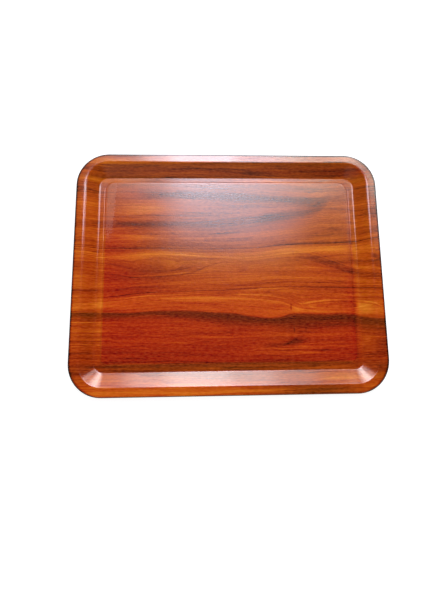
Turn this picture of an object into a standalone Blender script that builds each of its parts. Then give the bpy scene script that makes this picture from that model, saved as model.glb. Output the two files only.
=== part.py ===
"""Moulded veneer serving tray.

Seven thin veneers are glued and pressed into one dished sheet with a flat lip,
a sloping wall and a flat floor. A half-round seal closes the veneers' ends all
round the rim, and a textured non-slip panel is bonded to the floor.

Metres, +Z up. X runs along the tray and Y across it. The origin is the middle
of the floor's underside, which is the face the tray stands on.
"""

import math

import bmesh
import bpy

# Overall size, measured over the edge seal
TRAY_LENGTH = 0.460
TRAY_WIDTH = 0.360

# Pressed section, measured on the upper face unless a note says otherwise
LIP_WIDTH = 0.014                  # outer edge to the corner of lip and wall
WELL_DEPTH = 0.012                 # lip down to floor
WALL_SLOPE = math.radians(32.0)    # wall against the horizontal
LIP_BEND_RADIUS = 0.0020           # lip to wall, on the underside
FLOOR_BEND_RADIUS = 0.0040         # wall to floor
FLOOR_CORNER_RADIUS = 0.0140       # corners of the flat floor, in plan

# Layers
VENEER_THICKNESS = 0.0005          # face and back
CROSSBAND_THICKNESS = 0.0005       # grain across the tray
CORE_PLY_THICKNESS = 0.0006        # grain along the tray
CENTRE_PLY_THICKNESS = 0.0006      # grain across the tray
GLUE_LINE = 0.0001                 # between any two bonded pieces

# Pieces added to the pressed sheet
SEAL_WIDTH = 0.0016                # seal on the rim's edge, in plan
PANEL_THICKNESS = 0.0004
PANEL_MARGIN = 0.0085              # bare border from the floor's bend to the panel
PANEL_CORNER_RADIUS = 0.0130
PANEL_EDGE_ROUND = 0.00015

# Facets
CORNER_STEPS = 6
BEND_STEPS = 3
SEAL_STEPS = 6
SHARP_ANGLE = math.radians(30.0)

# Colours are linear red, green and blue
FACE_FINISH = {"colour": (0.430, 0.062, 0.006), "roughness": 0.28}
PANEL_FINISH = {"colour": (0.360, 0.028, 0.003), "roughness": 0.45}
BACK_FINISH = {"colour": (0.230, 0.050, 0.012), "roughness": 0.45}
CROSSBAND_FINISH = {"colour": (0.300, 0.150, 0.062), "roughness": 0.75}
CORE_FINISH = {"colour": (0.390, 0.215, 0.095), "roughness": 0.75}
SEAL_FINISH = {"colour": (0.040, 0.011, 0.006), "roughness": 0.40}

# The layers from the upper face down: name, thickness, finish
LAYERS = (
    ("face_veneer", VENEER_THICKNESS, FACE_FINISH),
    ("upper_crossband", CROSSBAND_THICKNESS, CROSSBAND_FINISH),
    ("upper_core_ply", CORE_PLY_THICKNESS, CORE_FINISH),
    ("centre_ply", CENTRE_PLY_THICKNESS, CROSSBAND_FINISH),
    ("lower_core_ply", CORE_PLY_THICKNESS, CORE_FINISH),
    ("lower_crossband", CROSSBAND_THICKNESS, CROSSBAND_FINISH),
    ("back_veneer", VENEER_THICKNESS, BACK_FINISH),
)

# Derived sizes
sheet_thickness = sum(layer[1] for layer in LAYERS) + GLUE_LINE * (len(LAYERS) - 1)
floor_height = sheet_thickness
lip_height = floor_height + WELL_DEPTH
wall_run = WELL_DEPTH / math.tan(WALL_SLOPE)
half_bend = math.tan(WALL_SLOPE / 2.0)

# Bend centres as inset from the outer edge and height. All layers share them.
lip_bend_upper = LIP_BEND_RADIUS + sheet_thickness
lip_bend_inset = LIP_WIDTH - lip_bend_upper * half_bend
lip_bend_height = lip_height - lip_bend_upper
floor_bend_inset = LIP_WIDTH + wall_run + FLOOR_BEND_RADIUS * half_bend
floor_bend_height = floor_height + FLOOR_BEND_RADIUS

corner_radius = FLOOR_CORNER_RADIUS + floor_bend_inset
sheet_edge_inset = SEAL_WIDTH + GLUE_LINE


def clear_scene():
    """Remove every object that is already in the scene."""
    for item in list(bpy.data.objects):
        bpy.data.objects.remove(item, do_unlink=True)


def make_material(name, finish):
    """A Principled material in the piece's own colour and gloss."""
    material = bpy.data.materials.new(name)
    material.use_nodes = True
    shader = material.node_tree.nodes["Principled BSDF"]
    shader.inputs["Base Color"].default_value = (*finish["colour"], 1.0)
    shader.inputs["Roughness"].default_value = finish["roughness"]
    shader.inputs["Metallic"].default_value = 0.0
    return material


def rounded_ring(half_length, half_width, radius, height):
    """Points of a rounded rectangle, anticlockwise seen from above."""
    points = []
    signs = ((1, 1), (-1, 1), (-1, -1), (1, -1))
    for corner, (side_x, side_y) in enumerate(signs):
        centre_x = side_x * (half_length - radius)
        centre_y = side_y * (half_width - radius)
        for step in range(CORNER_STEPS + 1):
            angle = math.pi / 2.0 * (corner + step / CORNER_STEPS)
            x = centre_x + radius * math.cos(angle)
            y = centre_y + radius * math.sin(angle)
            points.append((x, y, height))
    return points


def tray_ring(inset, height):
    """The tray's outline, brought in by the inset and set at a height."""
    half_length = TRAY_LENGTH / 2.0 - inset
    half_width = TRAY_WIDTH / 2.0 - inset
    return rounded_ring(half_length, half_width, corner_radius - inset, height)


def sheet_section(depth):
    """Inset and height along the surface that lies this depth below the upper face.

    The points run from the edge over the lip, round the lip's bend, down the wall
    and round the floor's bend. Both bends keep their centres, so that surfaces at
    two depths are parallel.
    """
    lip_bend = lip_bend_upper - depth
    floor_bend = FLOOR_BEND_RADIUS + depth
    points = [(sheet_edge_inset, lip_height - depth)]
    for step in range(BEND_STEPS + 1):
        angle = WALL_SLOPE * step / BEND_STEPS
        inset = lip_bend_inset + lip_bend * math.sin(angle)
        points.append((inset, lip_bend_height + lip_bend * math.cos(angle)))
    for step in range(BEND_STEPS, -1, -1):
        angle = WALL_SLOPE * step / BEND_STEPS
        inset = floor_bend_inset - floor_bend * math.sin(angle)
        points.append((inset, floor_bend_height - floor_bend * math.cos(angle)))
    return points


def make_piece(name, rings, finish, parent, is_hoop=False):
    """One closed solid skinned over a chain of rings.

    A sheet's chain starts and ends in a flat cap. A hoop's chain runs back to its
    first ring.
    """
    shape = bmesh.new()
    loops = [[shape.verts.new(point) for point in ring] for ring in rings]
    pairs = list(zip(loops, loops[1:]))
    if is_hoop:
        pairs.append((loops[-1], loops[0]))
    else:
        shape.faces.new(loops[0])
        shape.faces.new(reversed(loops[-1]))
    for first, second in pairs:
        for index in range(len(first)):
            after = (index + 1) % len(first)
            shape.faces.new((first[index], second[index], second[after], first[after]))
    mesh = bpy.data.meshes.new(name)
    shape.to_mesh(mesh)
    shape.free()
    mesh.shade_smooth()
    mesh.set_sharp_from_angle(angle=SHARP_ANGLE)
    mesh.materials.append(make_material(name, finish))
    piece = bpy.data.objects.new(name, mesh)
    piece.parent = parent
    bpy.context.scene.collection.objects.link(piece)
    return piece


def make_layer(name, depth, thickness, finish, parent):
    """One veneer of the pressed sheet, from its upper side to its lower side."""
    upper = [tray_ring(*point) for point in reversed(sheet_section(depth))]
    lower = [tray_ring(*point) for point in sheet_section(depth + thickness)]
    return make_piece(name, upper + lower, finish, parent)


def make_edge_seal(parent):
    """The half-round seal on the rim: an elliptic arc with a flat back."""
    half_height = sheet_thickness / 2.0
    rings = []
    for step in range(SEAL_STEPS + 1):
        angle = math.pi * (0.5 - step / SEAL_STEPS)
        inset = SEAL_WIDTH * (1.0 - math.cos(angle))
        rings.append(tray_ring(inset, lip_height - half_height + half_height * math.sin(angle)))
    return make_piece("edge_seal", rings, SEAL_FINISH, parent, is_hoop=True)


def make_non_slip_panel(parent):
    """The thin panel on the floor, with its upper edge eased."""
    inset = floor_bend_inset + PANEL_MARGIN
    half_length = TRAY_LENGTH / 2.0 - inset
    half_width = TRAY_WIDTH / 2.0 - inset
    underside = floor_height + GLUE_LINE
    top = underside + PANEL_THICKNESS
    rings = [
        rounded_ring(half_length - PANEL_EDGE_ROUND, half_width - PANEL_EDGE_ROUND,
                     PANEL_CORNER_RADIUS - PANEL_EDGE_ROUND, top),
        rounded_ring(half_length, half_width, PANEL_CORNER_RADIUS, top - PANEL_EDGE_ROUND),
        rounded_ring(half_length, half_width, PANEL_CORNER_RADIUS, underside),
    ]
    return make_piece("non_slip_panel", rings, PANEL_FINISH, parent)


def build_tray():
    """All the pieces, under one empty at the origin."""
    clear_scene()
    tray = bpy.data.objects.new("serving_tray", None)
    bpy.context.scene.collection.objects.link(tray)
    depth = 0.0
    for name, thickness, finish in LAYERS:
        make_layer(name, depth, thickness, finish, tray)
        depth += thickness + GLUE_LINE
    make_edge_seal(tray)
    make_non_slip_panel(tray)


build_tray()
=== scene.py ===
import math

import bpy
import numpy as np
from mathutils import Matrix, Vector


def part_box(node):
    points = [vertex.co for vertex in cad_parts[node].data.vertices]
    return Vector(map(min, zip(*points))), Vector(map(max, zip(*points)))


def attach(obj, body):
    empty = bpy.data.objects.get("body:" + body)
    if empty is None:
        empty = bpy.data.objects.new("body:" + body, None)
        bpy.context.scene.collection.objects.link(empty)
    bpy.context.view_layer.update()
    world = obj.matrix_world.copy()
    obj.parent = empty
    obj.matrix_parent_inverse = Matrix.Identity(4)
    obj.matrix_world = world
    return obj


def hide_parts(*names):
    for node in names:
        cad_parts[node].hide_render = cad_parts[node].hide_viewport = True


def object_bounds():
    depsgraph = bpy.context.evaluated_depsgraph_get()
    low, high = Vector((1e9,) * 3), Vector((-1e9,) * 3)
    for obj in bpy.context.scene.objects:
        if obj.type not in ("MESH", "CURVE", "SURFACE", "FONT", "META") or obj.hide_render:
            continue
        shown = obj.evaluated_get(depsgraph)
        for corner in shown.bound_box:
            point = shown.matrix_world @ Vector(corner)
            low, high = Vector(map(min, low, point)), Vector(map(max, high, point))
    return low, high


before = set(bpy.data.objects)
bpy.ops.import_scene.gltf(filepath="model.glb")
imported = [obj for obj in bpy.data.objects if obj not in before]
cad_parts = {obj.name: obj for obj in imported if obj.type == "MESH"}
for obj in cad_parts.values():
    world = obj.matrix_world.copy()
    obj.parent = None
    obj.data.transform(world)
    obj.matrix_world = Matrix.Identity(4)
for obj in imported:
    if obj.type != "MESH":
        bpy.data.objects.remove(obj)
cadLow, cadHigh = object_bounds()
print("frame loaded:", sorted(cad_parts))

scene = bpy.context.scene
scene.view_settings.view_transform = "Standard"
millimetre = 0.001

# the places that the CAD pieces hold
sealLow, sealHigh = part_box("edge_seal")
panelLow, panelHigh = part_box("non_slip_panel")
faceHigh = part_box("face_veneer")[1]
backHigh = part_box("back_veneer")[1]

# the pressed section that all the sheets follow
pressing = {
    "lipWidth": 0.014,                 # outer edge to the corner of lip and wall, on the upper face
    "wallSlope": math.radians(32.0),
    "lipBendBelow": 0.002,             # radius under the lip
    "floorBendAbove": 0.004,           # radius at the foot of the wall
    "floorCorner": 0.014,              # plan radius of the flat floor
    "lipSteps": 4,
    "bendSteps": 8,
    "wallSteps": 5,
    "sharpFrom": math.radians(35),     # an edge that turns more than this is shaded sharp
}
sheetThickness = sealHigh.z - sealLow.z
lipHeight = cadHigh.z
floorHeight = sheetThickness
wellDepth = lipHeight - floorHeight
veneerThickness = backHigh.z - wellDepth
halfBend = math.tan(pressing["wallSlope"] / 2)
lipBendAbove = pressing["lipBendBelow"] + sheetThickness
wallRun = wellDepth / math.tan(pressing["wallSlope"])
floorBendInset = pressing["lipWidth"] + wallRun + pressing["floorBendAbove"] * halfBend
cornerRadius = pressing["floorCorner"] + floorBendInset
sheetEdgeInset = cadHigh.x - faceHigh.x

# stations round every rounded rectangle: steps on a corner, a long side and a short side
outlineSteps = {"corner": 18, "long": 110, "short": 84}


def makeStations():
    # a station is a point of the straight-sided core, from -1 to 1 each way, and the angle of its arc
    corner = np.radians(np.linspace(0, 90, outlineSteps["corner"] + 1))
    along = np.linspace(-1, 1, outlineSteps["long"] + 1)
    across = np.linspace(-1, 1, outlineSteps["short"] + 1)
    cornerOnes = np.ones(len(corner) - 1)
    rowAcross = np.concatenate([-cornerOnes, across, cornerOnes])
    rowAngle = np.concatenate([corner[:-1] - np.pi / 2, np.zeros(len(across)), corner[1:]])
    return along, rowAcross, rowAngle


alongShare, rowShare, rowAngle = makeStations()
columnCount = len(alongShare)
rowCount = len(rowShare)


def roundedGrid(halfLength, halfWidth, radius):
    # rows run along the tray; a row's half length is the core's plus the radius times its angle's cosine
    rowHalf = halfLength - radius + radius * np.cos(rowAngle)
    rowPlace = rowShare * (halfWidth - radius) + radius * np.sin(rowAngle)
    gridX = rowHalf[:, None] * alongShare[None, :]
    gridY = np.repeat(rowPlace[:, None], columnCount, axis=1)
    return gridX, gridY


def gridEdge(grid):
    # the grid's border as one loop, anticlockwise from above
    return np.concatenate([grid[0, :-1], grid[:-1, -1], grid[-1, :0:-1], grid[:0:-1, 0]])


def roundedLoop(halfLength, halfWidth, radius, height):
    gridX, gridY = roundedGrid(halfLength, halfWidth, radius)
    edgeX, edgeY = gridEdge(gridX), gridEdge(gridY)
    return np.stack([edgeX, edgeY, np.full(len(edgeX), height)], axis=1)


def trayLoop(inset, height):
    return roundedLoop(cadHigh.x - inset, cadHigh.y - inset, cornerRadius - inset, height)


def sheetSection(depth, lipBend=lipBendAbove, floorBend=pressing["floorBendAbove"]):
    # lip, arc of the lip's bend, wall, arc of the floor's bend; both arcs keep their centres at every
    # depth and are given by their radii on the upper face
    slope = pressing["wallSlope"]
    lipArc = np.linspace(0, slope, pressing["bendSteps"] + 1)
    floorArc = np.linspace(slope, 0, pressing["bendSteps"] + 1)
    lipRadius = lipBend - depth
    floorRadius = floorBend + depth
    bendInset = pressing["lipWidth"] - lipBend * halfBend + lipRadius * np.sin(lipArc)
    bendHeight = lipHeight - lipBend + lipRadius * np.cos(lipArc)
    footInset = pressing["lipWidth"] + wallRun + floorBend * halfBend - floorRadius * np.sin(floorArc)
    footHeight = floorHeight + floorBend - floorRadius * np.cos(floorArc)
    lipInset = np.linspace(sheetEdgeInset, bendInset[0], pressing["lipSteps"] + 1)[:-1]
    lipLevel = np.full(len(lipInset), lipHeight - depth)
    wallInset = np.linspace(bendInset[-1], footInset[0], pressing["wallSteps"] + 1)[1:-1]
    wallHeight = np.linspace(bendHeight[-1], footHeight[0], pressing["wallSteps"] + 1)[1:-1]
    inset = np.concatenate([lipInset, bendInset, wallInset, footInset])
    height = np.concatenate([lipLevel, bendHeight, wallHeight, footHeight])
    return np.stack([inset, height], axis=1)


def makeMesh(name, points, quads, rims, material):
    # quads is an array of index rows; rims are the index loops that are closed by one flat face each
    faces = [row.tolist() for row in quads] + [rim.tolist() for rim in rims]
    mesh = bpy.data.meshes.new(name)
    mesh.from_pydata(points.tolist(), [], faces)
    mesh.materials.append(material)
    mesh.shade_smooth()
    mesh.set_sharp_from_angle(angle=pressing["sharpFrom"])
    mesh.update()
    piece = bpy.data.objects.new(name, mesh)
    scene.collection.objects.link(piece)
    return piece


def stripQuads(firstLoop, secondLoop):
    # quads between two loops of indices that run the same way round
    firstAfter, secondAfter = np.roll(firstLoop, -1), np.roll(secondLoop, -1)
    return np.stack([firstLoop, secondLoop, secondAfter, firstAfter], axis=1)


def loopChain(loops, start=0):
    # points and quads of loops skinned one after another, and the index loop of each
    count = len(loops[0])
    indices = [start + count * k + np.arange(count) for k in range(len(loops))]
    quads = [stripQuads(a, b) for a, b in zip(indices, indices[1:])]
    return np.concatenate(loops), np.concatenate(quads), indices


def storeField(piece, name, values):
    field = piece.data.attributes.new(name, "FLOAT", "POINT")
    field.data.foreach_set("value", values.astype(np.float32))


def meshPoints(piece):
    flat = np.zeros(len(piece.data.vertices) * 3)
    piece.data.vertices.foreach_get("co", flat)
    return flat.reshape(-1, 3)


# the wood figure, in millimetres from the tray's centre: lines that the grain follows
grainLines = {
    "nearEdge": [(-235, -166), (0, -168), (235, -165)],
    "nearLine": [(-235, -131), (-182, -132), (-82, -132), (0, -135), (93, -136), (168, -133), (235, -131)],
    "redField": [(-235, -103), (0, -107), (60, -104), (120, -107), (235, -106)],
    "streakFar": [(-235, -62), (-175, -62), (-150, -62.5), (-120, -60.5), (-90, -60), (-60, -60.5),
                  (-30, -63), (0, -64.5), (30, -69.5), (60, -72), (78, -70.5), (92, -67.5), (140, -68),
                  (180, -68), (205, -73), (235, -77)],
    "streakNear": [(-235, -71), (-175, -71), (-150, -70.5), (-120, -69), (-90, -69.5), (-60, -72.5),
                   (-30, -77), (0, -83), (60, -85), (100, -90), (140, -86), (180, -87), (235, -95)],
    "amberBelow": [(-235, -50), (-182, -48), (-130, -43), (-72, -41), (0, -41.5), (35, -42.5), (60, -45),
                   (85, -49.5), (100, -55), (140, -56), (235, -60)],
    "hairlineBelow": [(-235, -41), (-162, -37), (-137, -33.5), (-92, -31.5), (-42, -30), (0, -29),
                      (43, -27), (80, -25), (118, -25.5), (168, -26.5), (235, -28.5)],
    "middle": [(-235, 3), (0, 4), (60, 5), (150, 2), (235, -4)],
    "amberAbove": [(-235, 22), (-182, 21), (-150, 23), (-112, 25.5), (-72, 24.5), (-42, 22), (8, 19.5),
                   (43, 20.5), (80, 25.5), (113, 28), (160, 31), (235, 36)],
    "hairlineAbove": [(-235, 35), (-157, 34.5), (-92, 34.5), (-42, 33), (3, 33.5), (43, 35), (85, 39.5),
                      (135, 41), (190, 43.5), (235, 50)],
    "flameBelow": [(-235, 70), (-182, 71), (-92, 71), (-32, 72), (18, 75), (45, 79), (70, 83), (105, 87),
                   (140, 94), (185, 95), (235, 96)],
    "flameAbove": [(-235, 123), (-110, 121), (-32, 119), (18, 116), (55, 114), (93, 111), (143, 109),
                   (185, 114), (235, 116)],
    "farEdge": [(-235, 166), (235, 166)],
    "leftLens": [(-182, -3), (-165, -6.5), (-149, -9), (-120, -9.5), (-99, -8.5), (-65, -5), (-48, 0),
                 (-32, 7), (-15, 12), (0, 14)],
    "rightLens": [(98, -50), (110, -50), (122, -48), (135, -46.5), (160, -45), (190, -46), (205, -48),
                  (218, -52), (230, -60)],
    "flameTip": [(45, 79), (80, 84), (105, 88), (125, 91), (140, 97), (150, 104), (156, 111)],
    "amberPair": [(0, -36), (30, -36.5), (60, -38.5), (85, -43.5), (98, -49)],
    "rightArc": [(95, 25), (115, 22), (135, 16.5), (152, 10.5), (170, 4), (187, -2), (207, -8), (235, -12)],
    "rightBand": [(160, 21), (190, 16), (235, 13)],
    "goldEdge": [(-180, 83), (-120, 85.5), (-60, 85), (0, 84)],
    "redCurl": [(-190, -113), (-165, -113.5), (-145, -111), (-128, -109.5), (-112, -112.5), (-80, -113)],
    "knotArc": [(40, -111), (68, -111.5), (82, -110), (90, -106), (97, -101), (104, -98.5), (111, -100),
                (117, -104)],
    "lowAmber": [(60, -127), (90, -124), (120, -122), (160, -124.5), (190, -127)],
    "borderAmber": [(-92, -140), (0, -140.5), (93, -140)],
}

figure = {
    # the level is a line's own number; between two lines it runs evenly from one to the other
    "levels": {
        "nearEdge": -166, "nearLine": -133, "redField": -105, "streakFar": -65, "amberBelow": -46,
        "hairlineBelow": -32, "middle": 3, "amberAbove": 20, "hairlineAbove": 36, "flameBelow": 74,
        "flameAbove": 120, "farEdge": 166,
    },
    # eyes lift the level round a point, so that the grain closes in loops: x, y, reach along, reach
    # across, lift
    "eyes": [(-110, 3, 58, 9, 11), (158, -57, 46, 7, 8), (102, -105, 12, 3.5, 6), (20, 3, 40, 5, 6)],
    # clouds are wide darker or lighter patches: x, y, reach along, reach across, tone
    "clouds": [
        (15, 95, 82, 28, -0.20), (120, 75, 80, 40, 0.03), (0, 120, 75, 9, -0.07),
        (-50, 122, 50, 10, -0.06), (60, 62, 40, 12, -0.03), (150, 0, 50, 14, 0.03),
        (-40, -56, 130, 7, 0.03), (-150, -92, 60, 18, 0.03), (187, -20, 3.2, 130, -0.08),
        (192.5, -20, 3.0, 130, 0.06), (-188.5, 0, 2.5, 140, 0.05), (-20, 62, 60, 11, -0.12),
        (-130, 97, 42, 10, 0.20), (-160, 124, 40, 12, 0.04), (-140, 71, 48, 6, -0.06),
        (-150, 52, 45, 11, 0.18), (60, 46, 100, 7, -0.04), (145, 30, 60, 7, 0.15),
        (0, 29, 60, 7, -0.05), (-120, 1, 52, 9, -0.13), (-60, 0, 25, 8, -0.04),
        (35, -6, 75, 16, 0.06), (172, 2, 24, 7, -0.07), (-125, -17, 50, 7, -0.05),
        (150, -33, 55, 6, -0.07), (-165, -51.5, 45, 4.5, 0.07), (-60, -53, 85, 5, 0.12),
        (115, -60, 45, 6, 0.08), (103, -103.5, 8, 2.8, -0.26), (90, -108, 12, 3.2, -0.26),
        (66, -110.5, 17, 2.4, -0.20), (109, -111.5, 8, 2.2, 0.14), (139, -119, 13, 2.2, -0.12),
        (101, -58, 7, 6, 0.12), (202, -57, 10, 9, 0.13), (202, -104, 6, 4, 0.10),
        (203, -122, 6, 4, 0.10), (21, 1, 7, 3, -0.12), (125, -174, 66, 10, -0.28),
        (-80, -174, 140, 8, 0.12), (-170, -155, 55, 7, 0.17), (0, -155, 80, 7, -0.06),
        (160, -155, 50, 7, 0.15), (0, -141.5, 220, 5, 0.02), (130, -141.5, 80, 5, 0.05),
        (-224, 6, 9, 4, -0.12), (-210, 101, 28, 6, 0.08), (-195, 173, 45, 8, 0.08),
        (60, 173, 150, 8, -0.10), (-150, 155, 70, 7, 0.05), (165, 155, 65, 8, -0.04),
        (15, 132, 100, 6, -0.18), (20, 142, 95, 4, -0.02), (-190, 142, 60, 4, 0.06),
        (130, 141, 70, 5, 0.10), (222, 0, 8, 45, -0.07), (223, 100, 9, 40, -0.05),
        (223, -110, 9, 15, -0.14), (-206, -85, 9, 55, -0.04), (-207, 85, 8, 55, 0.05),
        (-223, 0, 9, 130, 0.05), (-191.5, -60, 4, 100, 0.05),
    ],
    # the lip's outermost strip is darker towards the edge: tone, the same on the near side, where the near
    # side starts and is full, and how far in the strip goes
    "rimTone": -0.25,
    "rimNearTone": -0.10,
    "rimNear": (172, 177),
    "rimReach": 4.0,
    # ticks are short dark marks across the grain, in the same form as the clouds
    "ticks": [
        (91.5, -55, 1.2, 6.5, -0.28), (95, -89, 1.4, 5, -0.17), (112.5, -88, 1.2, 4, -0.17),
        (98, 26, 1.3, 6, -0.10),
    ],
    # strokes are drawn along a line: shift across, half width, tone, first and last place along the
    # tray, fade
    "strokes": [
        ("flameBelow", 0.0, 8.0, -0.11, -190, 100, 70),
        ("flameBelow", 0.0, 1.6, 0.16, 188, 240, 8),
        ("flameBelow", -10.0, 4.5, -0.12, 188, 240, 8),
        ("flameBelow", -19.0, 1.6, 0.14, 188, 240, 8),
        ("flameBelow", -30.0, 4.0, -0.10, 188, 240, 8),
        ("flameAbove", -2.0, 10.0, -0.15, -150, 158, 30),
        ("flameTip", 1.0, 11.0, -0.15, 40, 160, 20),
        ("goldEdge", 0.0, 1.2, -0.18, -178, -20, 40),
        ("nearLine", 0.0, 2.4, -0.18, -195, 175, 12),
        ("hairlineAbove", 0.0, 1.3, -0.28, -240, 240, 4),
        ("hairlineAbove", 0.5, 4.5, -0.18, 40, 240, 50),
        ("hairlineAbove", -3.2, 1.0, -0.14, -120, 60, 40),
        ("hairlineBelow", 0.0, 1.3, -0.32, -190, 240, 30),
        ("hairlineBelow", -3.4, 1.2, -0.14, 30, 160, 30),
        ("hairlineBelow", -4.6, 1.4, 0.14, -170, -20, 40),
        ("leftLens", 0.0, 1.4, -0.22, -182, 0, 30),
        ("leftLens", 2.6, 1.3, 0.20, -178, -55, 25),
        ("rightLens", 0.0, 1.3, 0.24, 98, 228, 10),
        ("rightLens", -2.6, 1.3, -0.20, 110, 228, 12),
        ("amberAbove", 0.0, 2.2, 0.20, -240, 130, 40),
        ("amberBelow", 0.0, 1.4, 0.17, -150, 96, 30),
        ("amberPair", 0.0, 1.3, 0.22, 4, 98, 12),
        ("streakNear", -4.4, 1.2, 0.24, -240, -150, 20),
        ("rightArc", 0.0, 7.0, -0.14, 95, 240, 40),
        ("rightArc", 5.0, 1.2, -0.16, 110, 200, 25),
        ("rightArc", 9.0, 1.2, -0.14, 120, 190, 20),
        ("rightBand", 0.0, 3.5, -0.12, 160, 240, 30),
        ("redCurl", 0.0, 1.8, -0.12, -188, -84, 20),
        ("knotArc", 0.0, 3.4, -0.12, 44, 117, 10),
        ("lowAmber", 0.0, 1.4, 0.12, 60, 190, 20),
        ("borderAmber", 0.0, 1.2, 0.10, -92, 93, 25),
    ],
    "strokeShape": [(0.0, 0.0), (0.3, 0.35), (0.5, 1.0), (0.7, 0.35), (1.0, 0.0)],
    # a stroke with more than this half width has the broad shape
    "broadFrom": 6.0,
    "broadShape": [(0.0, 0.0), (0.28, 0.85), (0.5, 1.0), (0.72, 0.85), (1.0, 0.0)],
    # the streak lies between two lines: tone, change of redness, how patchy it is, and its shape from
    # half its width beyond the far line to half its width beyond the near one
    "streakTone": -0.29,
    "streakRedness": -0.25,
    "streakPatches": 0.8,
    "streakShape": [
        (0.16, 0.0), (0.25, 0.90), (0.33, 1.0), (0.46, 0.84), (0.61, 0.52), (0.76, 0.24), (0.92, 0.0),
    ],
}


def smoothLine(line, place):
    # cubic through the points, each point's slope being the mean slope of its two neighbours
    knots = np.array(line, float)
    slopes = np.gradient(knots[:, 1], knots[:, 0])
    cell = np.clip(np.searchsorted(knots[:, 0], place) - 1, 0, len(knots) - 2)
    width = knots[cell + 1, 0] - knots[cell, 0]
    share = np.clip((place - knots[cell, 0]) / width, 0, 1)
    rest = 1 - share
    bulge = rest * slopes[cell] * width - share * slopes[cell + 1] * width
    step = knots[cell + 1, 1] - knots[cell, 1]
    straight = knots[cell, 1] + share * step
    return straight + share * rest * (bulge + (share - rest) * step)


def gaussianSpots(x, y, spots):
    # sum of bell-shaped spots: x, y, reach along, reach across, height
    total = np.zeros(len(x))
    for spotX, spotY, along, across, height in spots:
        total += height * np.exp(-((x - spotX) / along) ** 2 - ((y - spotY) / across) ** 2)
    return total


def grainFlow(x, y):
    # level of the grain: linear across the tray between the lines, then lifted at the eyes
    lines = [smoothLine(grainLines[name], x) for name in figure["levels"]]
    levels = list(figure["levels"].values())
    flow = levels[0] + np.minimum(y - lines[0], 0) + np.maximum(y - lines[-1], 0)
    for k in range(len(lines) - 1):
        share = np.clip((y - lines[k]) / (lines[k + 1] - lines[k]), 0, 1)
        flow += share * (levels[k + 1] - levels[k])
    return flow + gaussianSpots(x, y, figure["eyes"])


def rimShade(x, y):
    # distance in from the tray's rounded outline; the tone falls in a short slope at the edge, less so on
    # the near side
    core = [(half - cornerRadius) / millimetre for half in (cadHigh.x, cadHigh.y)]
    overX, overY = np.abs(x) - core[0], np.abs(y) - core[1]
    outside = np.hypot(np.maximum(overX, 0), np.maximum(overY, 0))
    inset = cornerRadius / millimetre - outside - np.minimum(np.maximum(overX, overY), 0)
    reach = figure["rimReach"]
    slope = np.clip((reach - inset) / (reach - sheetEdgeInset / millimetre), 0, 1)
    nearStart, nearFull = figure["rimNear"]
    near = np.clip((-y - nearStart) / (nearFull - nearStart), 0, 1)
    return slope * (figure["rimTone"] * (1 - near) + figure["rimNearTone"] * near)


def dressWithGrain(piece, rednessOf):
    points = meshPoints(piece)
    x, y = points[:, 0] / millimetre, points[:, 1] / millimetre
    storeField(piece, "grainFlow", grainFlow(x, y))
    storeField(piece, "grainTone", gaussianSpots(x, y, figure["clouds"]) + rimShade(x, y))
    storeField(piece, "grainRedness", np.clip(rednessOf(x, y), 0, 1))
    return x, y


# helpers for shader nodes
def feed(tree, node, inputs):
    # a socket is linked to the input, and any other value is set on it
    for name, value in inputs.items():
        if isinstance(value, bpy.types.NodeSocket):
            tree.links.new(value, node.inputs[name])
        else:
            node.inputs[name].default_value = value


def addNode(tree, kind, inputs=None, **settings):
    node = tree.nodes.new(kind)
    for name, value in settings.items():
        setattr(node, name, value)
    feed(tree, node, inputs or {})
    return node


def calc(tree, operation, first, second=0.0, third=0.0):
    inputs = {0: first, 1: second, 2: third}
    return addNode(tree, "ShaderNodeMath", inputs, operation=operation).outputs[0]


def madd(tree, value, factor, offset=0.0):
    return calc(tree, "MULTIPLY_ADD", value, factor, offset)


def centred(tree, value, swing):
    # a noise, taken about its middle, times its swing
    return madd(tree, value, swing, -swing / 2)


def between(tree, share, limits):
    low, high = limits
    return madd(tree, share, high - low, low)


def slopeBetween(tree, value, start, end, low=0.0, high=1.0):
    # low up to the start, high past the end, and a straight slope between them
    return addNode(tree, "ShaderNodeMapRange", {0: value, 1: start, 2: end, 3: low, 4: high}).outputs[0]


def noise(tree, x, y, settings):
    # settings are the scale along and across for each millimetre, depth, roughness and seed
    alongScale, acrossScale, depth, roughness, seed = settings
    place = {0: madd(tree, x, alongScale), 1: madd(tree, y, acrossScale), 2: seed}
    vector = addNode(tree, "ShaderNodeCombineXYZ", place).outputs[0]
    inputs = {"Vector": vector, "Scale": 1.0, "Detail": depth, "Roughness": roughness}
    return addNode(tree, "ShaderNodeTexNoise", inputs, noise_dimensions="3D").outputs["Fac"]


def ramp(tree, value, stops, interpolation="LINEAR"):
    node = addNode(tree, "ShaderNodeValToRGB", {"Fac": value})
    node.color_ramp.interpolation = interpolation
    elements = node.color_ramp.elements
    while len(elements) < len(stops):
        elements.new(0.5)
    for element, (place, colour) in zip(elements, stops):
        element.position = place
        element.color = (*colour, 1.0)
    return node.outputs["Color"]


def greyRamp(tree, value, stops, interpolation="LINEAR"):
    return ramp(tree, value, [(place, (grey, grey, grey)) for place, grey in stops], interpolation)


def curve(tree, share, points):
    node = addNode(tree, "ShaderNodeFloatCurve", {"Value": share})
    knots = node.mapping.curves[0].points
    while len(knots) < len(points):
        knots.new(0.5, 0.5)
    for knot, place in zip(knots, points):
        knot.location = place
    node.mapping.update()
    return node.outputs[0]


def mixColour(tree, share, first, second, **settings):
    inputs = {0: share, 6: first, 7: second}
    return addNode(tree, "ShaderNodeMix", inputs, data_type="RGBA", **settings).outputs[2]


def bump(tree, height, distance, strength=1.0):
    inputs = {"Strength": strength, "Distance": distance, "Height": height}
    return addNode(tree, "ShaderNodeBump", inputs).outputs[0]


def attribute(tree, name):
    return addNode(tree, "ShaderNodeAttribute", attribute_name=name).outputs["Fac"]


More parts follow.
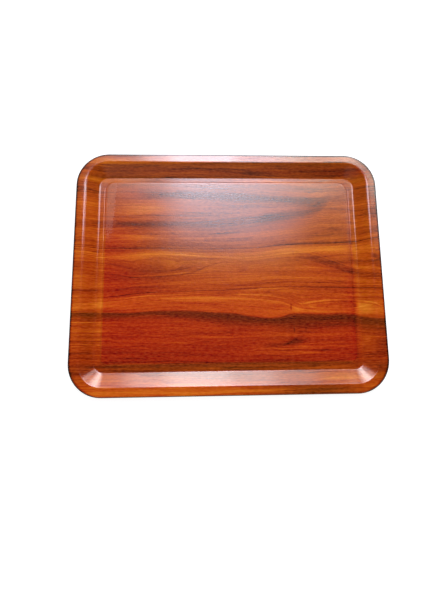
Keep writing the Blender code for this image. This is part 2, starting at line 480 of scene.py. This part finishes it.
def newMaterial(name):
    material = bpy.data.materials.new(name)
    material.use_nodes = True
    tree = material.node_tree
    return material, tree, tree.nodes["Principled BSDF"]


def objectPlace(tree):
    # object coordinates in millimetres, as three sockets
    place = addNode(tree, "ShaderNodeTexCoord").outputs["Object"]
    inputs = {0: place, 1: (1 / millimetre,) * 3}
    scaled = addNode(tree, "ShaderNodeVectorMath", inputs, operation="MULTIPLY").outputs[0]
    return addNode(tree, "ShaderNodeSeparateXYZ", {0: scaled}).outputs


# tone along the grain's level, dark 0 to amber 1; bands are level and tone
woodBands = [
    (-173, 0.66), (-163, 0.58), (-155, 0.48), (-145, 0.41), (-136, 0.43), (-128, 0.47), (-105, 0.53),
    (-90, 0.54), (-72, 0.52), (-58, 0.57), (-47, 0.67), (-38, 0.60), (-31, 0.53), (-15, 0.57), (0, 0.53),
    (14, 0.54), (23, 0.60), (32, 0.54), (45, 0.47), (60, 0.51), (74, 0.45), (90, 0.51), (108, 0.46),
    (121, 0.43), (143, 0.47), (147, 0.39), (150, 0.46), (154, 0.46), (158, 0.37), (163, 0.46), (173, 0.52),
]
# the stretch that ramps and curves cover, in millimetres
alongLow, alongSpan = -240.0, 480.0
acrossLow, acrossSpan = -200.0, 400.0

# the wood's noises: scale along and across for each millimetre, depth, roughness and seed
woodNoises = {
    "shake": (0.03, 0.10, 3.0, 0.6, 4.0),
    "wide": (0.005, 0.14, 2.0, 0.5, 11.0),
    "lines": (0.010, 0.45, 3.0, 0.65, 23.0),
    "fine": (0.030, 0.95, 2.0, 0.6, 37.0),
    "pores": (0.10, 2.6, 1.0, 0.5, 53.0),
    "hairs": (0.006, 0.10, 2.0, 0.5, 61.0),
    "hairPresence": (0.012, 0.08, 1.0, 0.5, 67.0),
    "flecks": (0.16, 0.60, 1.0, 0.5, 97.0),
}

# the wood's colours by tone, where it is gold and where it is red
woodColours = {
    "gold": [
        (0.00, (0.020, 0.007, 0.0005)), (0.15, (0.060, 0.016, 0.0005)), (0.30, (0.165, 0.033, 0.0008)),
        (0.42, (0.270, 0.051, 0.0010)), (0.55, (0.400, 0.085, 0.0020)), (0.70, (0.530, 0.150, 0.0060)),
        (0.85, (0.640, 0.240, 0.0160)), (1.00, (0.740, 0.330, 0.0400)),
    ],
    "red": [
        (0.00, (0.025, 0.002, 0.0004)), (0.15, (0.080, 0.004, 0.0004)), (0.30, (0.180, 0.006, 0.0005)),
        (0.42, (0.272, 0.009, 0.0005)), (0.55, (0.368, 0.018, 0.0008)), (0.70, (0.480, 0.046, 0.0015)),
        (0.85, (0.600, 0.110, 0.0040)), (1.00, (0.710, 0.200, 0.0150)),
    ],
    # how far the shake moves the grain's level and the strokes, in millimetres
    "levelShake": 5.0,
    "strokeShake": 2.4,
    # how far each noise swings the tone and the redness, and how much of the swing the streak keeps
    "noiseTones": {"wide": 0.38, "lines": 0.52, "fine": 0.08},
    "noiseReds": {"lines": -0.30, "fine": -0.30},
    "noiseInStreak": 0.45,
    # flecks are short fibres, paler or darker than the wood round them: the light they add, and how much
    "fleckColour": (1.0, 0.24, 0.07, 1.0),
    "flecks": 0.26,
    # pores are short dark dashes: tone, and the noise where they start and are full
    "poreTone": -0.10,
    "poreRange": (0.58, 0.72),
    # hairs are thin dark lines: tone, how many of them in one swing of their noise, their share of the
    # space, and the second noise where they start to show and show in full
    "hairTone": -0.12,
    "hairCount": 4.0,
    "hairShare": 0.13,
    "hairRange": (0.38, 0.62),
}


def linePath(tree, alongPart, name):
    points = [((px - alongLow) / alongSpan, (py - acrossLow) / acrossSpan) for px, py in grainLines[name]]
    return madd(tree, curve(tree, alongPart, points), acrossSpan, acrossLow)


def stroke(tree, tone, alongPart, y, settings, strength):
    # distance from the stroke's line, through the stroke's shape, faded at both ends
    lineName, shift, halfWidth, depth, first, last, fade = settings
    across = calc(tree, "SUBTRACT", y, linePath(tree, alongPart, lineName))
    offset = madd(tree, across, 0.5 / halfWidth, 0.5 - 0.5 * shift / halfWidth)
    shape = figure["broadShape"] if halfWidth > figure["broadFrom"] else figure["strokeShape"]
    body = greyRamp(tree, offset, shape, "EASE")
    ends = [(first, 0.0), (first + fade, 1.0), (last - fade, 1.0), (last, 0.0)]
    fading = greyRamp(tree, alongPart, [((place - alongLow) / alongSpan, grey) for place, grey in ends])
    return madd(tree, calc(tree, "MULTIPLY", body, fading), depth * strength, tone)


def darkStreak(tree, alongPart, y):
    # place between the streak's two lines, as a share of its width, through the streak's shape
    far = linePath(tree, alongPart, "streakFar")
    near = linePath(tree, alongPart, "streakNear")
    width = calc(tree, "SUBTRACT", far, near)
    share = calc(tree, "DIVIDE", calc(tree, "SUBTRACT", far, y), width)
    return greyRamp(tree, madd(tree, share, 0.5, 0.25), figure["streakShape"], "EASE")


def tick(tree, tone, x, y, settings):
    # one less the squared distance from the tick's middle, counted in its reaches and held at nought
    placeX, placeY, along, across, depth = settings
    shareX = madd(tree, x, 1 / along, -placeX / along)
    shareY = madd(tree, y, 1 / across, -placeY / across)
    squares = madd(tree, shareX, shareX, calc(tree, "MULTIPLY", shareY, shareY))
    body = calc(tree, "MAXIMUM", madd(tree, squares, -1.0, 1.0), 0.0)
    return madd(tree, body, depth, tone)


def swingSum(tree, noises, swings):
    total = 0.0
    for name, swing in swings.items():
        total = calc(tree, "ADD", centred(tree, noises[name], swing), total)
    return total


def hairLines(tree, x, level):
    # contours of a noise drawn out along the grain: a triangle wave of it, from nought to a half, dark
    # only near the wave's foot, and a second noise that lets the hairs come and go
    hills = noise(tree, x, level, woodNoises["hairs"])
    wave = calc(tree, "PINGPONG", madd(tree, hills, woodColours["hairCount"]), 0.5)
    line = slopeBetween(tree, wave, 0.0, woodColours["hairShare"], 1.0, 0.0)
    presence = noise(tree, x, level, woodNoises["hairPresence"])
    return calc(tree, "MULTIPLY", line, slopeBetween(tree, presence, *woodColours["hairRange"]))


def woodFigure(tree, x, y, markStrength):
    # level from the piece's own field, shaken a little, through the bands, plus lines of three widths,
    # pores, hairs and strokes; the streak and the strokes are weakened or strengthened together
    level = attribute(tree, "grainFlow")
    shake = noise(tree, x, level, woodNoises["shake"])
    shaken = calc(tree, "ADD", level, centred(tree, shake, woodColours["levelShake"]))
    acrossPart = madd(tree, shaken, 1 / acrossSpan, -acrossLow / acrossSpan)
    bandStops = [((place - acrossLow) / acrossSpan, grey) for place, grey in woodBands]
    band = greyRamp(tree, acrossPart, bandStops)
    noises = {name: noise(tree, x, shaken, woodNoises[name]) for name in ("wide", "lines", "fine")}
    strokeY = calc(tree, "ADD", y, centred(tree, shake, woodColours["strokeShake"]))
    alongPart = madd(tree, x, 1 / alongSpan, -alongLow / alongSpan)
    patches = figure["streakPatches"]
    streak = darkStreak(tree, alongPart, strokeY)
    streak = calc(tree, "MULTIPLY", streak, madd(tree, noises["wide"], patches, 1 - patches / 2))
    swing = swingSum(tree, noises, woodColours["noiseTones"])
    calm = madd(tree, streak, woodColours["noiseInStreak"] - 1.0, 1.0)
    pores = slopeBetween(tree, noise(tree, x, y, woodNoises["pores"]), *woodColours["poreRange"])
    swing = madd(tree, pores, woodColours["poreTone"], swing)
    swing = madd(tree, hairLines(tree, x, shaken), woodColours["hairTone"], swing)
    tone = madd(tree, swing, calm, calc(tree, "ADD", band, attribute(tree, "grainTone")))
    tone = madd(tree, streak, figure["streakTone"] * markStrength, tone)
    for settings in figure["strokes"]:
        tone = stroke(tree, tone, alongPart, strokeY, settings, markStrength)
    for settings in figure["ticks"]:
        tone = tick(tree, tone, x, y, settings)
    redSwing = swingSum(tree, noises, woodColours["noiseReds"])
    redness = calc(tree, "ADD", attribute(tree, "grainRedness"), redSwing)
    redness = madd(tree, streak, figure["streakRedness"], redness)
    return {"tone": tone, "redness": redness, "fine": noises["fine"], "calm": calm}


def woodColour(tree, x, y, tone, redness):
    # gold and red mixed by redness, plus the flecks' light times a noise drawn out along the tray
    gold = ramp(tree, tone, woodColours["gold"])
    red = ramp(tree, tone, woodColours["red"])
    plain = mixColour(tree, redness, gold, red)
    share = centred(tree, noise(tree, x, y, woodNoises["flecks"]), woodColours["flecks"])
    return mixColour(tree, share, plain, woodColours["fleckColour"], blend_type="ADD", clamp_factor=False)


faceFinish = {
    "roughness": (0.12, 0.17),
    "gloss": 1.0,
    "grainBump": 0.05,
    "grainHeight": 0.0002,
    "contrast": 1.2,                   # the bare lacquer shows the figure's tones more than the panel does
    "middleTone": 0.5,
    "marks": 0.75,                     # and its streak and strokes less so
    # redness in the middle, its fall for each millimetre across the tray, and patches
    "redness": 0.42,
    "rednessFall": 0.0017,
    "rednessPatches": [
        (120, -174, 90, 9, -0.62), (0, -155, 230, 7, -0.48), (0, -141.5, 230, 7, -0.48),
        (-207, 20, 9, 130, 0.16), (0, 142, 230, 4, -0.60), (0, 155, 230, 8, 0.16),
        (190, 155, 50, 8, 0.25), (0, 173, 230, 8, -0.55), (224, 75, 11, 55, -0.40),
        (193, 65, 5, 65, -0.50), (191.5, -60, 4, 60, 0.08), (-191.5, 0, 4, 140, 0.05),
        (-206, -90, 8, 45, -0.12), (202, -57, 10, 9, -0.08), (188.5, -30, 2.4, 120, 0.25),
        (160, -155, 75, 7, -0.35),
    ],
}


def faceRedness(x, y):
    even = faceFinish["redness"] - faceFinish["rednessFall"] * y
    return even + gaussianSpots(x, y, faceFinish["rednessPatches"])


def lacqueredVeneer():
    material, tree, shader = newMaterial("lacquered_veneer")
    x, y = objectPlace(tree)[:2]
    wood = woodFigure(tree, x, y, faceFinish["marks"])
    contrast = faceFinish["contrast"]
    tone = madd(tree, wood["tone"], contrast, faceFinish["middleTone"] * (1 - contrast))
    feed(tree, shader, {
        "Base Color": woodColour(tree, x, y, tone, wood["redness"]),
        "Roughness": between(tree, wood["fine"], faceFinish["roughness"]),
        "Specular IOR Level": faceFinish["gloss"],
        "Normal": bump(tree, wood["fine"], faceFinish["grainHeight"], faceFinish["grainBump"]),
    })
    return material


panelFinish = {
    "roughness": (0.12, 0.16),
    "gloss": 0.50,
    "marks": 1.0,
    # threads of the woven texture, as noises: scale along and across, depth, roughness and seed
    "warp": (0.62, 0.42, 0.0, 0.5, 71.0),
    "weft": (0.42, 0.62, 0.0, 0.5, 83.0),
    "threadTone": 0.06,
    "threadHeight": 0.00009,
    # clear coat that lies thicker and thinner on the threads: its noise, where that leaves it bare and
    # where full, roughness and index
    "coat": (0.40, 0.75, 1.0, 0.5, 89.0),
    "coatRange": (0.20, 0.80),
    "coatRoughness": 0.17,
    "coatIndex": 1.8,
    # redness grows towards the near side: its most, where it starts, its reach in millimetres, and patches
    "redness": 0.91,
    "rednessStart": 15.0,
    "rednessReach": 40.0,
    "rednessPatches": [
        (-185, 35, 70, 65, 0.78), (-135, 120, 45, 12, 0.30), (150, 15, 45, 25, 0.36),
        (80, -105, 35, 30, -0.12), (70, -30, 90, 20, -0.12), (-150, -92, 60, 18, 0.08),
        (184, -20, 8, 120, 0.15),
    ],
    # and it thins out at the near edge: where it ends, and over how much
    "rednessEnd": -138.0,
    "rednessEase": 5.0,
    # at the left edge it starts a little way in: bare and full places, and the redness where it is bare
    "tintRange": (-186.8, -184.8),
    "bareRedness": 0.45,
    # dull strip along the left edge, rubbed by use: its right side at a place across the tray, the side's
    # slant and softness, and where the strip ends and fades, in millimetres
    "wearSide": -173.5,
    "wearPlace": 100.0,
    "wearSlant": 0.058,
    "wearSoft": 5.5,
    "wearEnd": 40.0,
    "wearFade": 38.0,
    # what it changes, and how far the threads break it up
    "wearRoughness": 0.30,
    "wearTone": 0.01,
    "wearRedness": -0.15,
    "wearBreak": 1.3,
}


def coatRedness(x, y):
    # one less an exponential fall, counted from where the red starts, plus patches, all faded at the
    # near edge
    depth = np.maximum(panelFinish["rednessStart"] - y, 0) / panelFinish["rednessReach"]
    grown = panelFinish["redness"] * (1 - np.exp(-depth))
    grown += gaussianSpots(x, y, panelFinish["rednessPatches"])
    return grown * np.clip((y - panelFinish["rednessEnd"]) / panelFinish["rednessEase"], 0, 1)


def coatWear(x, y):
    # one left of a slanting side, with a short slope there and a longer one at the near end
    side = panelFinish["wearSide"] + panelFinish["wearSlant"] * (y - panelFinish["wearPlace"])
    across = np.clip((side - x) / panelFinish["wearSoft"] + 0.5, 0, 1)
    return across * np.clip((y - panelFinish["wearEnd"]) / panelFinish["wearFade"], 0, 1)


def nonSlipCoat():
    # the wood figure under a woven texture: two sets of crossed threads, each a noise drawn out one way
    material, tree, shader = newMaterial("non_slip_coat")
    x, y = objectPlace(tree)[:2]
    wood = woodFigure(tree, x, y, panelFinish["marks"])
    warp = noise(tree, x, y, panelFinish["warp"])
    weft = noise(tree, x, y, panelFinish["weft"])
    weave = calc(tree, "ADD", warp, weft)
    threads = madd(tree, weave, panelFinish["threadTone"], -panelFinish["threadTone"])
    tone = madd(tree, threads, wood["calm"], wood["tone"])
    broken = madd(tree, weave, panelFinish["wearBreak"], 1.0 - panelFinish["wearBreak"])
    wearInputs = {0: attribute(tree, "coatWear"), 1: broken}
    wear = addNode(tree, "ShaderNodeMath", wearInputs, operation="MULTIPLY", use_clamp=True).outputs[0]
    tone = madd(tree, wear, panelFinish["wearTone"], tone)
    redness = madd(tree, wear, panelFinish["wearRedness"], wood["redness"])
    bareSide, fullSide = panelFinish["tintRange"]
    redness = slopeBetween(tree, x, bareSide, fullSide, panelFinish["bareRedness"], redness)
    smooth = between(tree, warp, panelFinish["roughness"])
    coat = noise(tree, x, y, panelFinish["coat"])
    feed(tree, shader, {
        "Base Color": woodColour(tree, x, y, tone, redness),
        "Roughness": madd(tree, wear, panelFinish["wearRoughness"], smooth),
        "Specular IOR Level": panelFinish["gloss"],
        "Coat Weight": slopeBetween(tree, coat, *panelFinish["coatRange"]),
        "Coat Roughness": panelFinish["coatRoughness"],
        "Coat IOR": panelFinish["coatIndex"],
        "Normal": bump(tree, weave, panelFinish["threadHeight"]),
    })
    return material


backFinish = {
    "colours": [
        (0.25, (0.090, 0.022, 0.008)), (0.45, (0.190, 0.046, 0.013)), (0.60, (0.260, 0.072, 0.020)),
        (0.80, (0.340, 0.110, 0.034)),
    ],
    # two noises, and the first one's share of the tone
    "wide": (0.004, 0.11, 3.0, 0.6, 5.0),
    "fine": (0.02, 1.3, 3.0, 0.6, 9.0),
    "wideShare": 0.6,
    "roughness": (0.38, 0.52),
    "grainBump": 0.1,
    "grainHeight": 0.0002,
}


def plainVeneer():
    # straight plain grain: noise drawn out along the tray, in two widths
    material, tree, shader = newMaterial("plain_back_veneer")
    x, y = objectPlace(tree)[:2]
    wide = noise(tree, x, y, backFinish["wide"])
    fine = noise(tree, x, y, backFinish["fine"])
    tone = madd(tree, wide, backFinish["wideShare"], madd(tree, fine, 1 - backFinish["wideShare"]))
    feed(tree, shader, {
        "Base Color": ramp(tree, tone, backFinish["colours"]),
        "Roughness": between(tree, fine, backFinish["roughness"]),
        "Normal": bump(tree, fine, backFinish["grainHeight"], backFinish["grainBump"]),
    })
    return material


sealFinish = {
    # colours from the bead's foot to its top
    "dark": [
        (0.30, (0.018, 0.006, 0.004)), (0.95, (0.024, 0.009, 0.005)), (1.00, (0.042, 0.014, 0.006)),
    ],
    # on the near side the lacquer is rubbed thin: its colours there, and where that starts and is full
    "thin": [
        (0.30, (0.040, 0.013, 0.006)), (0.75, (0.110, 0.030, 0.009)), (1.00, (0.260, 0.060, 0.010)),
    ],
    "thinRange": (-176.5, -178.5),
    # unevenness, as a noise, and how far it moves the colours up and down
    "uneven": (0.08, 0.08, 3.0, 0.6, 17.0),
    "heightSwing": 0.06,
    "roughness": (0.16, 0.41),
}


def sealLacquer():
    # dark lacquer that thins out over the rounded top, where the wood's colour shows; height sets which
    material, tree, shader = newMaterial("edge_lacquer")
    x, y, z = objectPlace(tree)
    uneven = noise(tree, x, y, sealFinish["uneven"])
    low, high = sealLow.z / millimetre, sealHigh.z / millimetre
    share = madd(tree, z, 1 / (high - low), -low / (high - low))
    shifted = calc(tree, "ADD", share, centred(tree, uneven, sealFinish["heightSwing"]))
    near = slopeBetween(tree, y, *sealFinish["thinRange"])
    dark = ramp(tree, shifted, sealFinish["dark"])
    thin = ramp(tree, shifted, sealFinish["thin"])
    feed(tree, shader, {
        "Base Color": mixColour(tree, near, dark, thin),
        "Roughness": between(tree, uneven, sealFinish["roughness"]),
    })
    return material


# floor panel: its corner in plan, and the rounding of its upper edge
panelSettings = {"piece": "floor_panel", "corner": 0.013, "edgeRound": 0.00026, "edgeSteps": 5}

# face sheet: lip, wall and border, in the CAD face veneer's place
faceSettings = {
    "piece": "face_sheet",
    "lipBend": 0.011,                  # lacquer softens both bends on the upper side
    "floorBend": 0.007,
    "nearLipBend": 0.003,              # but on the near side they are crisp
    "nearFloorBend": 0.004,
    "nearFrom": 0.115,                 # from this place on and over this reach
    "nearReach": 0.030,
    "innerReach": 0.004,               # how far the border goes on under the panel
    # shallow valley pressed round the panel: its middle outside the panel's edge, half width and depth
    "valleyPlace": 0.0010,
    "valleyHalf": 0.0016,
    "valleyDepth": 0.00013,
    "valleySteps": 12,
}


def borderLoops():
    # level with the floor under the panel, then one wave of a cosine for the valley; all the loops
    # follow the panel's outline
    panelInset = cadHigh.x - panelHigh.x
    wave = np.linspace(1, -1, faceSettings["valleySteps"] + 1)
    valleyInset = panelInset - faceSettings["valleyPlace"] + faceSettings["valleyHalf"] * wave
    valleyHeight = floorHeight - faceSettings["valleyDepth"] * (1 + np.cos(math.pi * wave)) / 2
    inset = np.concatenate([[panelInset + faceSettings["innerReach"]], valleyInset])
    height = np.concatenate([[floorHeight], valleyHeight])
    radius = panelSettings["corner"] + panelInset - inset
    return [roundedLoop(cadHigh.x - a, cadHigh.y - a, r, h) for a, r, h in zip(inset, radius, height)]


def bendLoops():
    # the soft section and the crisp one, mixed by how near a point lies
    soft = sheetSection(0.0, faceSettings["lipBend"], faceSettings["floorBend"])[::-1]
    crisp = sheetSection(0.0, faceSettings["nearLipBend"], faceSettings["nearFloorBend"])[::-1]
    loops = []
    for softPoint, crispPoint in zip(soft, crisp):
        loop = trayLoop(*softPoint)
        share = np.clip((-loop[:, 1:2] - faceSettings["nearFrom"]) / faceSettings["nearReach"], 0, 1)
        loops.append(loop + share * (trayLoop(*crispPoint) - loop))
    return loops


def sheetMesh(name, loops, material):
    # a chain of loops with a flat face over its first and its last loop
    points, quads, indices = loopChain(loops)
    return makeMesh(name, points, quads, [indices[0], indices[-1][::-1]], material)


def faceSheet():
    # the upper section goes on past the floor's bend under the panel, the lower one comes back from the
    # edge
    lowerLoops = [trayLoop(*point) for point in sheetSection(veneerThickness)]
    loops = borderLoops() + bendLoops() + lowerLoops
    piece = sheetMesh(faceSettings["piece"], loops, lacqueredVeneer())
    dressWithGrain(piece, faceRedness)
    return piece


def backSheet():
    # the same chain at the bottom of the stack
    upperLoops = [trayLoop(*point) for point in sheetSection(sheetThickness - veneerThickness)[::-1]]
    lowerLoops = [trayLoop(*point) for point in sheetSection(sheetThickness)]
    return sheetMesh("back_sheet", upperLoops + lowerLoops, plainVeneer())


beadSettings = {"piece": "edge_bead", "glueLine": 0.0001, "steps": 14}


def edgeBead():
    # half an ellipse round the rim, closed by its flat back
    width = sheetEdgeInset - beadSettings["glueLine"]
    turn = np.linspace(math.pi / 2, -math.pi / 2, beadSettings["steps"] + 1)
    inset = width * (1 - np.cos(turn))
    height = lipHeight - sheetThickness / 2 * (1 - np.sin(turn))
    loops = [trayLoop(*point) for point in np.stack([inset, height], axis=1)]
    points, quads, indices = loopChain(loops)
    quads = np.concatenate([quads, stripQuads(indices[-1], indices[0])])
    return makeMesh(beadSettings["piece"], points, quads, [], sealLacquer())


def floorPanel():
    # a grid for the field, then a quarter round and a skirt
    half = Vector(((panelHigh.x - panelLow.x) / 2, (panelHigh.y - panelLow.y) / 2))
    ease, corner = panelSettings["edgeRound"], panelSettings["corner"]
    gridX, gridY = roundedGrid(half.x - ease, half.y - ease, corner - ease)
    field = np.stack([gridX, gridY, np.full(gridX.shape, panelHigh.z)], axis=2)
    turn = np.linspace(0, math.pi / 2, panelSettings["edgeSteps"] + 1)[1:]
    inset = np.append(ease * (1 - np.sin(turn)), 0.0)
    height = np.append(panelHigh.z - ease * (1 - np.cos(turn)), panelLow.z)
    sideLoops = [roundedLoop(half.x - a, half.y - a, corner - a, b) for a, b in zip(inset, height)]
    index = np.arange(rowCount * columnCount).reshape(rowCount, columnCount)
    cellCorners = [index[:-1, :-1], index[:-1, 1:], index[1:, 1:], index[1:, :-1]]
    gridQuads = np.stack(cellCorners, axis=2).reshape(-1, 4)
    sidePoints, sideQuads, indices = loopChain(sideLoops, start=index.size)
    points = np.concatenate([field.reshape(-1, 3), sidePoints])
    quads = np.concatenate([gridQuads, stripQuads(gridEdge(index), indices[0]), sideQuads])
    piece = makeMesh(panelSettings["piece"], points, quads, [indices[-1][::-1]], nonSlipCoat())
    x, y = dressWithGrain(piece, coatRedness)
    storeField(piece, "coatWear", coatWear(x, y))
    return piece


pieces = [
    (faceSheet(), "face_veneer", "face_wood"),
    (backSheet(), "back_veneer", "back_wood"),
    (edgeBead(), "edge_seal", "edge_lacquer"),
    (floorPanel(), "non_slip_panel", "panel_coat"),
]
for piece, node, slotName in pieces:
    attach(piece, "root")
    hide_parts(node)
    print("piece:", piece.name, len(piece.data.vertices), "points")

# the plies that stay hidden between face and back keep their CAD solids: colours, and a noise whose two
# scales set which way the grain runs
plyFinish = {
    "cross_ply": {
        "colours": [(0.30, (0.230, 0.105, 0.040)), (0.70, (0.370, 0.190, 0.085))],
        "grain": (1.1, 0.03, 3.0, 0.6, 29.0),
        "nodes": ["upper_crossband", "centre_ply", "lower_crossband"],
    },
    "core_ply": {
        "colours": [(0.30, (0.330, 0.175, 0.075)), (0.70, (0.460, 0.265, 0.125))],
        "grain": (0.03, 1.1, 3.0, 0.6, 29.0),
        "nodes": ["upper_core_ply", "lower_core_ply"],
    },
}
plyRoughness = (0.65, 0.85)


def innerPly(name, finish):
    material, tree, shader = newMaterial(name)
    x, y = objectPlace(tree)[:2]
    fibre = noise(tree, x, y, finish["grain"])
    colour = ramp(tree, fibre, finish["colours"])
    feed(tree, shader, {"Base Color": colour, "Roughness": between(tree, fibre, plyRoughness)})
    return material


for plyName, finish in plyFinish.items():
    plyMaterial = innerPly(plyName, finish)
    for node in finish["nodes"]:
        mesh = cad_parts[node].data
        mesh.materials.clear()
        mesh.materials.append(plyMaterial)
    print("plies dressed:", plyName, len(finish["nodes"]))

# floor: white to the camera where it is lit; clear from below and to scattered light, so that the
# underside shows
stageSettings = {"size": 6.0, "drop": 0.0002, "paint": 0.35, "lift": 0.86}


def whiteFloor():
    side = stageSettings["size"]
    corners = np.array([(-1, -1, 0), (1, -1, 0), (1, 1, 0), (-1, 1, 0)]) * side
    corners[:, 2] = -stageSettings["drop"]
    material = bpy.data.materials.new("white_floor")
    material.use_nodes = True
    tree = material.node_tree
    tree.nodes.clear()
    paint = (stageSettings["paint"],) * 3 + (1.0,)
    matt = addNode(tree, "ShaderNodeBsdfDiffuse", {"Color": paint}).outputs[0]
    path = addNode(tree, "ShaderNodeLightPath").outputs
    lift = madd(tree, path["Is Camera Ray"], stageSettings["lift"])
    glow = addNode(tree, "ShaderNodeEmission", {"Strength": lift}).outputs[0]
    lit = addNode(tree, "ShaderNodeAddShader", {0: matt, 1: glow}).outputs[0]
    clear = addNode(tree, "ShaderNodeBsdfTransparent").outputs[0]
    back = addNode(tree, "ShaderNodeNewGeometry").outputs["Backfacing"]
    passed = calc(tree, "MAXIMUM", back, path["Is Diffuse Ray"])
    both = addNode(tree, "ShaderNodeMixShader", {0: passed, 1: lit, 2: clear}).outputs[0]
    addNode(tree, "ShaderNodeOutputMaterial", {"Surface": both})
    mesh = bpy.data.meshes.new("white_floor")
    mesh.from_pydata(corners.tolist(), [], [[0, 1, 2, 3]])
    mesh.materials.append(material)
    floor = bpy.data.objects.new("white_floor", mesh)
    scene.collection.objects.link(floor)


whiteFloor()

# softboxes on the far side, in rows: middle of the row across and up, height, radiance and tint, then each
# pane's left end, right end and share of the radiance
plainTint = (1.0, 1.0, 1.0)
windowRows = {
    "top": {"row": (0.505, 1.43, 0.26), "radiance": 4.9, "tint": (1.0, 0.85, 1.0),
            "panes": [(-0.17, 0.24, 1.0), (0.24, 0.42, 0.66), (0.68, 0.95, 0.20)]},
    "corner": {"row": (0.63, 1.38, 0.16), "radiance": 0.4, "tint": (1.0, 0.78, 1.0),
               "panes": [(-0.55, -0.17, 1.0)]},
    "upper": {"row": (0.81, 1.28, 0.42), "radiance": 11.5, "tint": (1.0, 0.86, 1.0),
              "panes": [(-0.50, -0.30, 0.13), (-0.30, -0.16, 0.50), (-0.16, 0.10, 1.0),
                        (0.10, 0.34, 0.64)]},
    "upperRight": {"row": (0.81, 1.28, 0.42), "radiance": 4.0, "tint": plainTint,
                   "panes": [(0.34, 0.44, 1.0), (0.44, 0.72, 0.88)]},
    "lower": {"row": (1.16, 0.88, 0.62), "radiance": 7.4, "tint": plainTint,
              "panes": [(-0.60, -0.36, 0.12), (-0.36, -0.20, 0.58), (-0.20, 0.12, 1.0),
                        (0.12, 0.30, 0.66), (0.30, 0.48, 0.32), (0.48, 0.70, 0.08)]},
    "edge": {"row": (0.64, 1.375, 0.05), "radiance": 5.0, "tint": (0.93, 1.0, 0.90),
             "panes": [(-0.50, -0.39, 0.20), (-0.39, -0.17, 1.0), (-0.17, 0.34, 0.75),
                       (0.34, 0.56, 1.6), (0.56, 0.85, 1.2)]},
    "left": {"row": (1.05, 1.03, 0.45), "radiance": 1.8, "tint": plainTint,
             "panes": [(-0.85, -0.41, 1.0)]},
    "right": {"row": (1.03, 0.94, 0.55), "radiance": 2.0, "tint": plainTint,
              "panes": [(0.60, 1.00, 1.0)]},
}


def softbox(name, place, width, height, radiance, tint):
    # faces the tray; the power follows from the radiance and the pane's area
    lamp = bpy.data.lights.new(name, "AREA")
    lamp.shape = "RECTANGLE"
    lamp.size, lamp.size_y = width, height
    lamp.color = tint
    lamp.energy = radiance * math.pi * width * height
    holder = bpy.data.objects.new(name, lamp)
    holder.location = place
    holder.rotation_euler = (-place).to_track_quat("-Z", "Y").to_euler()
    holder.visible_camera = False
    scene.collection.objects.link(holder)


for rowName, settings in windowRows.items():
    across, up, paneHeight = settings["row"]
    for number, (left, right, share) in enumerate(settings["panes"]):
        place = Vector(((left + right) / 2, across, up))
        radiance = settings["radiance"] * share
        softbox(f"{rowName}_pane_{number}", place, right - left, paneHeight, radiance, settings["tint"])

# world: white to the camera, an even fill, and for reflections dim with a paler wall behind the camera,
# which darkens to a share of itself on the right; rise and turn are where each change starts and ends
roomSettings = {
    "fill": 0.50,
    "dim": 0.004,
    "wall": 0.18,
    "wallRise": (0.20, 0.70),
    "wallTurn": (0.08, 0.24),
    "wallShare": 0.15,
}


def evenLight(tree, colour, strength):
    return addNode(tree, "ShaderNodeBackground", {"Color": colour, "Strength": strength}).outputs[0]


def whiteRoom():
    world = bpy.data.worlds.new("white_room")
    scene.world = world
    world.use_nodes = True
    tree = world.node_tree
    tree.nodes.clear()
    path = addNode(tree, "ShaderNodeLightPath").outputs
    direction = addNode(tree, "ShaderNodeTexCoord").outputs["Generated"]
    side, ahead = addNode(tree, "ShaderNodeSeparateXYZ", {0: direction}).outputs[:2]
    behind = madd(tree, ahead, -1.0)
    wall = greyRamp(tree, behind, zip(roomSettings["wallRise"], (roomSettings["dim"], roomSettings["wall"])))
    turn = greyRamp(tree, side, zip(roomSettings["wallTurn"], (1.0, roomSettings["wallShare"])))
    plainWhite = (1.0, 1.0, 1.0, 1.0)
    room = evenLight(tree, calc(tree, "MULTIPLY", wall, turn), 1.0)
    fill = evenLight(tree, plainWhite, roomSettings["fill"])
    white = evenLight(tree, plainWhite, 1.0)
    seen = addNode(tree, "ShaderNodeMixShader", {0: path["Is Glossy Ray"], 1: fill, 2: room}).outputs[0]
    final = addNode(tree, "ShaderNodeMixShader", {0: path["Is Camera Ray"], 1: seen, 2: white}).outputs[0]
    addNode(tree, "ShaderNodeOutputWorld", {"Surface": final})


whiteRoom()
print("stage, softboxes and room set")

# camera: place, aim and roll as the photograph was taken; the shift is its off-centre framing
cameraSettings = {
    "place": (-0.0475, -0.1116, 0.7280),
    "aim": (-0.0100, 0.0387, 0.0),
    "roll": math.radians(0.74),
    "lens": 29.64,
    "sensor": 36.0,
    "shiftY": -0.0845,
}


def photoCamera():
    data = bpy.data.cameras.new("photo_camera")
    data.lens = cameraSettings["lens"]
    data.sensor_width = cameraSettings["sensor"]
    data.shift_y = cameraSettings["shiftY"]
    holder = bpy.data.objects.new("photo_camera", data)
    scene.collection.objects.link(holder)
    place, aim = Vector(cameraSettings["place"]), Vector(cameraSettings["aim"])
    back = (place - aim).normalized()
    right = Vector((0, 1, 0)).cross(back).normalized()
    up = back.cross(right)
    turned = Matrix((right, up, back)).transposed() @ Matrix.Rotation(-cameraSettings["roll"], 3, "Z")
    holder.matrix_world = Matrix.Translation(place) @ turned.to_4x4()
    scene.camera = holder


photoCamera()
